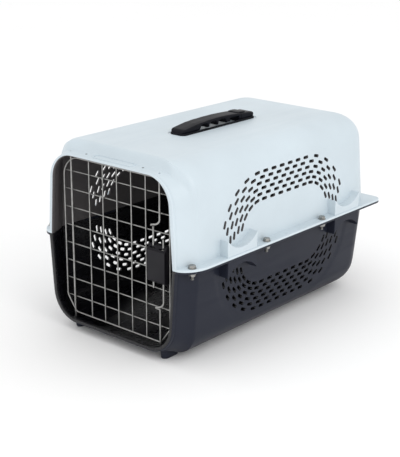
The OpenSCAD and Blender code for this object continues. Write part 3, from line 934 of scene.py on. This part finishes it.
def lower_surface(x, y):
    """Depth of the lower shell's outside under the parting plane, near the bottom's middle part."""
    def depth(hw, h, r, draft):
        past_edge = max(0, abs(x) - edge_centre(hw, h, r, draft))
        return h - r + math.sqrt(max(0, r * r - past_edge * past_edge))

    lip = depth(LIP_HW, LOWER["lip_h"], LIP_R, LIP_DRAFT)
    body = depth(BODY_HW, LOWER["h"], LOWER["side_r"], LOWER["draft"])
    return lip + (body - lip) * min(1, flare_share(y - LIP_Y))


def foot(build, x, y):
    """A foot with a rounded sole. Its top follows the shell and is sunk into it."""
    sink = 1.2
    top_low = 4
    outline = plan_outline(FOOT_L, FOOT_W, FOOT_W / 2)
    rings = []
    for z, shrink in ((None, -0.8), (3.2, -0.2), (1.2, 0), (0.35, 0.5), (0, 1.4)):
        ring = []
        for u, v in outline:
            px = x + u * (1 - 2 * shrink / FOOT_W)
            py = y + v * (1 - 2 * shrink / FOOT_L)
            if z is None:
                ring.append((px, py, max(PARTING_Z - lower_surface(px, py) + sink, top_low)))
            else:
                ring.append((px, py, z))
        rings.append(ring)
    build.add(*loft(rings))


def make_lower_shell():
    shell = shell_solid("lower_shell_body", LOWER, NAVY, NAVY_PAINTED_SHADE)
    added = Build()
    for y in POCKET_YS:
        pocket(added, LOWER, y)
    for x in (-FOOT_X, FOOT_X):
        for y in FOOT_YS:
            foot(added, x, y)
    cut = Build()
    cut_slots(cut, LOWER)
    drill_bolt_holes(cut, LOWER)
    seat_z = node_box("door_hinge_rod")[0].z - 0.2
    drill(cut, (-ROD_X, wire_line("door_hinge_rod"), seat_z), HINGE_HOLE_R, 0, 30)
    drill(cut, (ROD_X, rod_line("lower_bolt_rod"), 0), ROD_HOLE_R, 0, 30)
    finish_shell(shell, added, cut, (NAVY, NAVY_PAINTED_SHADE), "lower_shell")


# ---------------------------------------------------------------- fasteners

def hexagon(build, x, y, z0, z1, chamfer_top, turn):
    """A hexagonal head or nut with a turned chamfer at its top or its bottom."""
    flat = HEAD_ACROSS / 2
    face_r = flat * 0.94
    chamfer_slope = 1.4
    sides = 48
    rings = []
    for t in (0, 0.25, 0.5, 0.72, 0.86, 0.95, 1):
        from_face = 1 - t if chamfer_top else t
        cone = face_r + from_face * (z1 - z0) * chamfer_slope
        ring = []
        for i in range(sides):
            a = 2 * math.pi * i / sides
            around = (a + math.pi / 6) % (math.pi / 3) - math.pi / 6
            r = min(flat / math.cos(around), cone)
            ring.append((x + r * math.cos(a + turn), y + r * math.sin(a + turn), z0 + (z1 - z0) * t))
        rings.append(ring)
    build.add(*loft(rings))


def threaded_shank(tip_z, thread_end_z, top_z):
    """Radius and height down a bolt, with a pointed tip and rings for its thread."""
    shank = [(0.8, tip_z), (2.1, tip_z + 0.2), (BOLT_R, tip_z + 0.7)]
    z = tip_z + 0.9
    while z < thread_end_z:
        shank += [(BOLT_R, z), (THREAD_ROOT_R, z + 0.35), (BOLT_R, z + 0.7)]
        z += THREAD_PITCH
    return shank + [(BOLT_R, top_z)]


def make_flange_fasteners():
    bolts, washers, nuts = Build(), Build(), Build()
    top = PARTING_Z + FLANGE_T
    bottom = PARTING_Z - FLANGE_T
    shank = threaded_shank(bottom - 10.1, bottom - 4.7, top + 1.2)
    rim = WASHER_R - 0.4
    for i, (x, y) in enumerate(bolt_places()):
        turn = 0.7 * i
        hexagon(bolts, x, y, top + WASHER_T, top + WASHER_T + HEAD_H, True, turn)
        bolts.add(*lathe(shank, (x, y, 0), 24))
        for z in (top, bottom - WASHER_T):
            washers.add(*lathe([
                (rim, z), (WASHER_R, z + WASHER_EDGE), (WASHER_R, z + WASHER_T - WASHER_EDGE),
                (rim, z + WASHER_T),
            ], (x, y, 0)))
        hexagon(nuts, x, y, bottom - WASHER_T - HEAD_H, bottom - WASHER_T, False, turn + 0.4)
    for build, node in ((bolts, "flange_bolts"), (washers, "flange_washers"), (nuts, "flange_nuts")):
        build.piece(node, "_detailed", STEEL, 30, "shells", "fasteners")


# ---------------------------------------------------------------- door

def weld_bead(build, centre, radius):
    """A small flattened weld where two wires cross."""
    rings = []
    for b in (-80, -45, 0, 45, 80):
        rb = radius * math.cos(math.radians(b))
        rings.append([
            (centre[0] + rb * math.cos(a), centre[1] + 0.8 * radius * math.sin(math.radians(b)),
             centre[2] + rb * math.sin(a))
            for a in [2 * math.pi * k / 12 for k in range(12)]
        ])
    build.add(*loft(rings))


def wavy(a, b, amount, phase, steps=28):
    """A nearly straight wire: it wanders by a tenth of a millimetre or two."""
    a, b = Vector(a), Vector(b)
    out = []
    for i in range(steps + 1):
        t = i / steps
        swing = amount * math.sin(math.pi * t) * math.sin(phase + 5.1 * t)
        along = (b - a).normalized()
        side = Vector((abs(along.z), 0, abs(along.x)))
        out.append(a.lerp(b, t) + side * swing)
    return out


def spread(first, last, count):
    """Evenly spaced places from first to last."""
    return [first + (last - first) * i / (count - 1) for i in range(count)]


def make_door():
    up_low, up_high = node_box("door_upright_wires")
    cross_low, cross_high = node_box("door_cross_wires")
    rod_low, rod_high = node_box("door_hinge_rod")
    wire_r = (up_high.y - up_low.y) / 2
    drawn_r = wire_r - DRAWN_THINNER
    y_front = wire_line("door_upright_wires")
    y_cross = wire_line("door_cross_wires")
    y_joint = (y_front + y_cross) / 2
    y_rod = wire_line("door_hinge_rod")
    hw = cross_high.x
    top, bottom = up_high.z, up_low.z
    cut_top, cut_bottom = top - CUT_TOP, bottom + CUT_BOTTOM_Z
    xs = spread(up_low.x + wire_r, up_high.x - wire_r, UPRIGHTS)
    zs = spread(cross_high.z - wire_r, cross_low.z + wire_r, CROSSES)
    outer, upright, cross, rod = Build(), Build(), Build(), Build()

    outline = [
        ((hw - CUT_TOP, y_front, top), FRAME_BEND_R), ((hw, y_front, cut_top), FRAME_BEND_R),
        ((hw, y_front, cut_bottom), CUT_BEND_R), ((hw - CUT_BOTTOM_X, y_front, bottom), CUT_BEND_R),
    ]
    outline += [((-x, y, z), radius) for (x, y, z), radius in reversed(outline)]
    outer.add(*tube(rounded_loop(outline), FRAME_R, sides=16, closed=True))

    for i, x in enumerate(xs):
        line = wavy((x, y_front, bottom), (x, y_front, top), amount=0.35, phase=1.3 * i)
        upright.add(*tube(line, drawn_r, sides=14))
        for z in zs:
            weld_bead(upright, (x, y_joint, z), JOINT_BEAD_R)
        for z in (bottom, top):
            weld_bead(outer, (x, y_front, z), END_BEAD_R)

    end = hw + CROSS_OVERHANG
    for i, z in enumerate(zs):
        line = wavy((-end, y_cross, z), (end, y_cross, z), amount=0.3, phase=0.9 * i)
        cross.add(*tube(line, drawn_r, sides=14))
        if cut_bottom < z < cut_top:
            for x in (-hw, hw):
                weld_bead(outer, (x, y_joint, z), FRAME_BEAD_R)

    line = [(-ROD_X, y_rod, z) for z in spread(rod_low.z, rod_high.z, 21)]
    rod.add(*tube(line, HINGE_R, sides=20))
    for z in zs:
        weld_bead(rod, (-ROD_X, (y_rod + y_cross) / 2 + 0.6, z), JOINT_BEAD_R)

    for build, node in (
        (outer, "door_outer_wire"), (upright, "door_upright_wires"), (cross, "door_cross_wires"),
        (rod, "door_hinge_rod"),
    ):
        build.piece(node, "_drawn", ZINC, WIRE_SMOOTH_ANGLE, "door", "door_wire")


def bent_path(corners):
    """A path through (point, bend radius) corners; the two ends have no bend."""
    points = [p for p, _ in corners]
    out = [Vector(points[0])]
    for k in range(1, len(corners) - 1):
        out.extend(arc_points(points[k - 1], points[k], points[k + 1], corners[k][1], 10))
    return out + [Vector(points[-1])]


def make_latch_rods():
    """Each rod leaves the housing, sweeps into a forward finger loop, and runs on as the bolt."""
    low, high = node_box("upper_bolt_rod")
    y = rod_line("upper_bolt_rod")
    out = y - ROD_LOOP_OUT
    upper = bent_path([
        ((ROD_X, y, high.z), 0), ((ROD_X, y, 204), 8), ((UPPER_STUB_X, out, 202.5), 1.8),
        ((UPPER_STUB_X, y, 199.5), 2), ((UPPER_STUB_X, y, low.z), 0),
    ])
    low, high = node_box("lower_bolt_rod")
    lower = bent_path([
        ((LOWER_STUB_X, y, high.z), 0), ((LOWER_STUB_X, y, 83), 8), ((81.5, out, 81), 1.6),
        ((ROD_X, y, 78), 1.8), ((ROD_X, y, low.z), 0),
    ])
    for name, path in (("upper_bolt", upper), ("lower_bolt", lower)):
        build = Build()
        build.add(*tube(path, ROD_R, sides=18))
        build.piece(name + "_rod", "_bent", ZINC, WIRE_SMOOTH_ANGLE, name, "door_wire")


def make_springs():
    """Round-wire coil springs between the housing and the collars."""
    steps = 20
    count = SPRING_TURNS * steps
    for node, x in (("upper_bolt_spring", UPPER_STUB_X), ("lower_bolt_spring", LOWER_STUB_X)):
        low, high = node_box(node)
        y = (low.y + high.y) / 2
        rise = high.z - low.z - 2 * SPRING_WIRE_R
        points = [
            (x + SPRING_R * math.cos(2 * math.pi * i / steps),
             y + SPRING_R * math.sin(2 * math.pi * i / steps),
             low.z + SPRING_WIRE_R + rise * i / count)
            for i in range(count + 1)
        ]
        build = Build()
        build.add(*tube(points, SPRING_WIRE_R, sides=10))
        build.piece(node, "_coil", STEEL, WIRE_SMOOTH_ANGLE, "door", "fasteners")


# ---------------------------------------------------------------- handle

def section_ring(y, half_w, z0, z1, r, steps=5):
    """A rounded rectangle across the handle at station y."""
    r = min(r, half_w * 0.9, (z1 - z0) * 0.45)
    ring = []
    for cx, cz, start in ((1, 1, 0), (-1, 1, 90), (-1, -1, 180), (1, -1, 270)):
        for i in range(steps + 1):
            a = math.radians(start + 90 * i / steps)
            x = cx * (half_w - r) + r * math.cos(a)
            z = (z1 - r if cz > 0 else z0 + r) + r * math.sin(a)
            ring.append((x, y, z))
    return ring


def make_handle_base(hole):
    """The base strip, open under the grip between the two ends of the hole."""
    low, high = node_box("handle_base")
    length, width = high.y - low.y, high.x - low.x
    mid = (low.y + high.y) / 2
    rings = []
    for z, shrink in ((low.z, 0.3), (low.z + 0.4, 0), (high.z - 0.8, 0.1), (high.z - 0.2, 0.5),
                      (high.z, 1.1)):
        outline = plan_outline(length - 2 * shrink, width - 2 * shrink, BASE_CORNER_R - shrink)
        rings.append([(x, mid + y, z) for x, y in outline])
    for z, grow in ((high.z, 0.8), (high.z - 0.7, 0), (low.z, 0)):
        outline = plan_outline(hole[1] - hole[0] + 2 * grow, BASE_HOLE_W + 2 * grow, 2 + grow)
        rings.append([(x, sum(hole) / 2 + y, z) for x, y in outline])
    rings.append(rings[0])
    base = Build()
    base.add(*closed_loft(rings))
    base.piece("handle_base", "_moulded", BLACK, HANDLE_SMOOTH_ANGLE, "shells", "handle")


def grip_underside(y):
    """Height of the grip's underside over its foot: three finger scallops and a slot."""
    if SLIT_Y[0] < y < SLIT_Y[1]:
        return SLIT_H
    up = 0
    for k in range(SCALLOPS):
        d = abs(y - SCALLOP_Y - SCALLOP_PITCH * k) / SCALLOP_R
        if d < 1:
            up = max(up, SCALLOP_H * (1 - d ** 2.6) ** 0.5)
    return up


def make_handle_grip(y0, y1):
    """An arched strap from y0 to y1, with a tongue at each end that slides in its cap."""
    low, high = node_box("handle_grip")
    grip = Build()
    rings = []
    stations = set(np.linspace(y0, y1, 120))
    for edge in SLIT_Y:
        stations.update((edge, edge + 0.02))
    for y in sorted(stations):
        t = (y - y0) / (y1 - y0)
        top = high.z - GRIP_ARCH * (1 - math.sin(math.pi * (0.15 + 0.7 * t)))
        half_w = high.x - GRIP_WAIST * math.sin(math.pi * t)
        rings.append(section_ring(y, half_w, low.z + grip_underside(y), top, 2.4))
    grip.add(*loft(rings))
    for start in (y0 + 1 - TONGUE_L, y1 - 1):
        grip.add(*loft([
            section_ring(start + TONGUE_L * k / 4, TONGUE_HW, low.z, low.z + TONGUE_T, 0.8)
            for k in range(5)
        ]))
    grip.piece("handle_grip", "_moulded", BLACK, HANDLE_SMOOTH_ANGLE, "grip", "handle")


def end_cap(low, high, way, nose):
    """A cap whose rounded nose, at height nose, faces away from the grip."""
    build = Build()
    length = high.y - low.y
    start = low.y if way > 0 else high.y
    steps = 26
    rings = []
    for i in range(steps + 1):
        d = length * (i / steps) ** 1.3
        nose_round = max(0, 1 - d / CAP_NOSE_L) ** 2
        top = nose + (high.z - 1.8 - nose) * min(1, d / length) ** 0.85 - 3.4 * nose_round
        half_w = high.x - 4.5 * nose_round
        rings.append(section_ring(start + way * d, half_w, low.z, top, 2.6))
    build.add(*loft(rings))
    return build


def rear_cap_tab(build, start, top):
    """Where the rear cap overlaps the strap it ends in a raised, rounded tab."""
    tab = []
    for i in range(9):
        t = i / 8
        swell = math.sin(math.pi * min(1, 0.08 + t)) ** 0.5 if t < 0.92 else 0.25
        tab.append(section_ring(start + TAB_L * t, TAB_HW, top - 2.5, top - 0.9 + 0.9 * swell, 1))
    build.add(*loft(tab))


def make_handle():
    front_low, front_high = node_box("handle_front_cap")
    rear_low, rear_high = node_box("handle_rear_cap")
    make_handle_base((front_high.y + BASE_HOLE_IN, rear_low.y - BASE_HOLE_IN))
    make_handle_grip(front_high.y + GRIP_END_GAP, rear_low.y - GRIP_END_GAP)
    front = end_cap(front_low, front_high, 1, FRONT_NOSE_Z)
    rear = end_cap(rear_low, rear_high, -1, REAR_NOSE_Z)
    rear_cap_tab(rear, rear_low.y - 4, rear_high.z)
    for build, node in ((front, "handle_front_cap"), (rear, "handle_rear_cap")):
        build.piece(node, "_moulded", BLACK, HANDLE_SMOOTH_ANGLE, "shells", "handle")


# ---------------------------------------------------------------- kept CAD parts

def dress(node, material, width):
    """A CAD node that keeps its shape: welded, with soft edges and a new material."""
    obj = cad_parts[node]
    obj.data.materials.clear()
    obj.data.materials.append(material)
    weld = obj.modifiers.new("weld", "WELD")
    weld.merge_threshold = WELD_DISTANCE
    if width:
        bevel(obj, width)


# ---------------------------------------------------------------- stage, light and camera

CAMERA_TARGET = Vector((-0.0144, -0.0248, 0.1246))
CAMERA_DISTANCE = 1.7864
CAMERA_AZIMUTH = math.radians(40.74)
CAMERA_ELEVATION = math.radians(18.31)
CAMERA_ROLL = math.radians(0.29)
CAMERA_LENS = 89.0
LIGHT_TARGET = Vector((0, 0, 0.15))
FLOOR_R = 9000
FLOOR_SIDES = 64


def direction(azimuth, elevation):
    """From the object towards a camera or a light. Azimuth 0 is in front of the door."""
    return Vector((
        math.sin(azimuth) * math.cos(elevation), -math.cos(azimuth) * math.cos(elevation),
        math.sin(elevation),
    ))


def make_camera():
    data = bpy.data.cameras.new("camera")
    data.lens = CAMERA_LENS
    data.sensor_width = 36
    data.clip_start = 0.05
    data.clip_end = 50
    camera = bpy.data.objects.new("camera", data)
    back = direction(CAMERA_AZIMUTH, CAMERA_ELEVATION)
    camera.location = CAMERA_TARGET + back * CAMERA_DISTANCE
    camera.rotation_mode = "QUATERNION"
    camera.rotation_quaternion = (-back).to_track_quat("-Z", "Y") @ Quaternion((0, 0, 1), CAMERA_ROLL)
    bpy.context.scene.collection.objects.link(camera)
    bpy.context.scene.camera = camera


def area_light(name, azimuth, elevation, distance, size, power):
    data = bpy.data.lights.new(name, "AREA")
    data.shape = "DISK"
    data.size = size
    data.energy = power
    light = bpy.data.objects.new(name, data)
    back = direction(math.radians(azimuth), math.radians(elevation))
    light.location = LIGHT_TARGET + back * distance
    light.rotation_mode = "QUATERNION"
    light.rotation_quaternion = (-back).to_track_quat("-Z", "Y")
    bpy.context.scene.collection.objects.link(light)


def make_stage():
    turns = [2 * math.pi * i / FLOOR_SIDES for i in range(FLOOR_SIDES)]
    ring = [(FLOOR_R * math.cos(a), FLOOR_R * math.sin(a), 0) for a in turns]
    floor = mesh_object("studio_floor", ring, [list(range(FLOOR_SIDES))], None, (floor_material(),))
    if floor.data.polygons[0].normal.z < 0:
        floor.data.flip_normals()
    world = bpy.data.worlds.new("studio")
    world.use_nodes = True
    background = world.node_tree.nodes["Background"]
    background.inputs["Color"].default_value = (1, 1, 1, 1)
    background.inputs["Strength"].default_value = 1.0
    bpy.context.scene.world = world
    area_light("key", azimuth=75, elevation=30, distance=2.2, size=1.4, power=8)
    area_light("front_fill", azimuth=-10, elevation=25, distance=2.4, size=1.6, power=2)
    area_light("top_fill", azimuth=20, elevation=85, distance=2.2, size=1.8, power=1)
    bpy.context.scene.view_settings.view_transform = "Standard"


make_camera()
make_stage()
make_upper_shell()
make_lower_shell()
make_flange_fasteners()
make_door()
make_latch_rods()
make_springs()
make_handle()
dress("latch_housing", LATCH_BLACK, 0.9)
dress("latch_back_plate", LATCH_BLACK, 0.6)
dress("latch_screws", STEEL, 0)
dress("upper_bolt_collar", STEEL, 0)
dress("lower_bolt_collar", STEEL, 0)
dress("handle_screws", STEEL, 0)
dress("handle_washers", STEEL, 0)
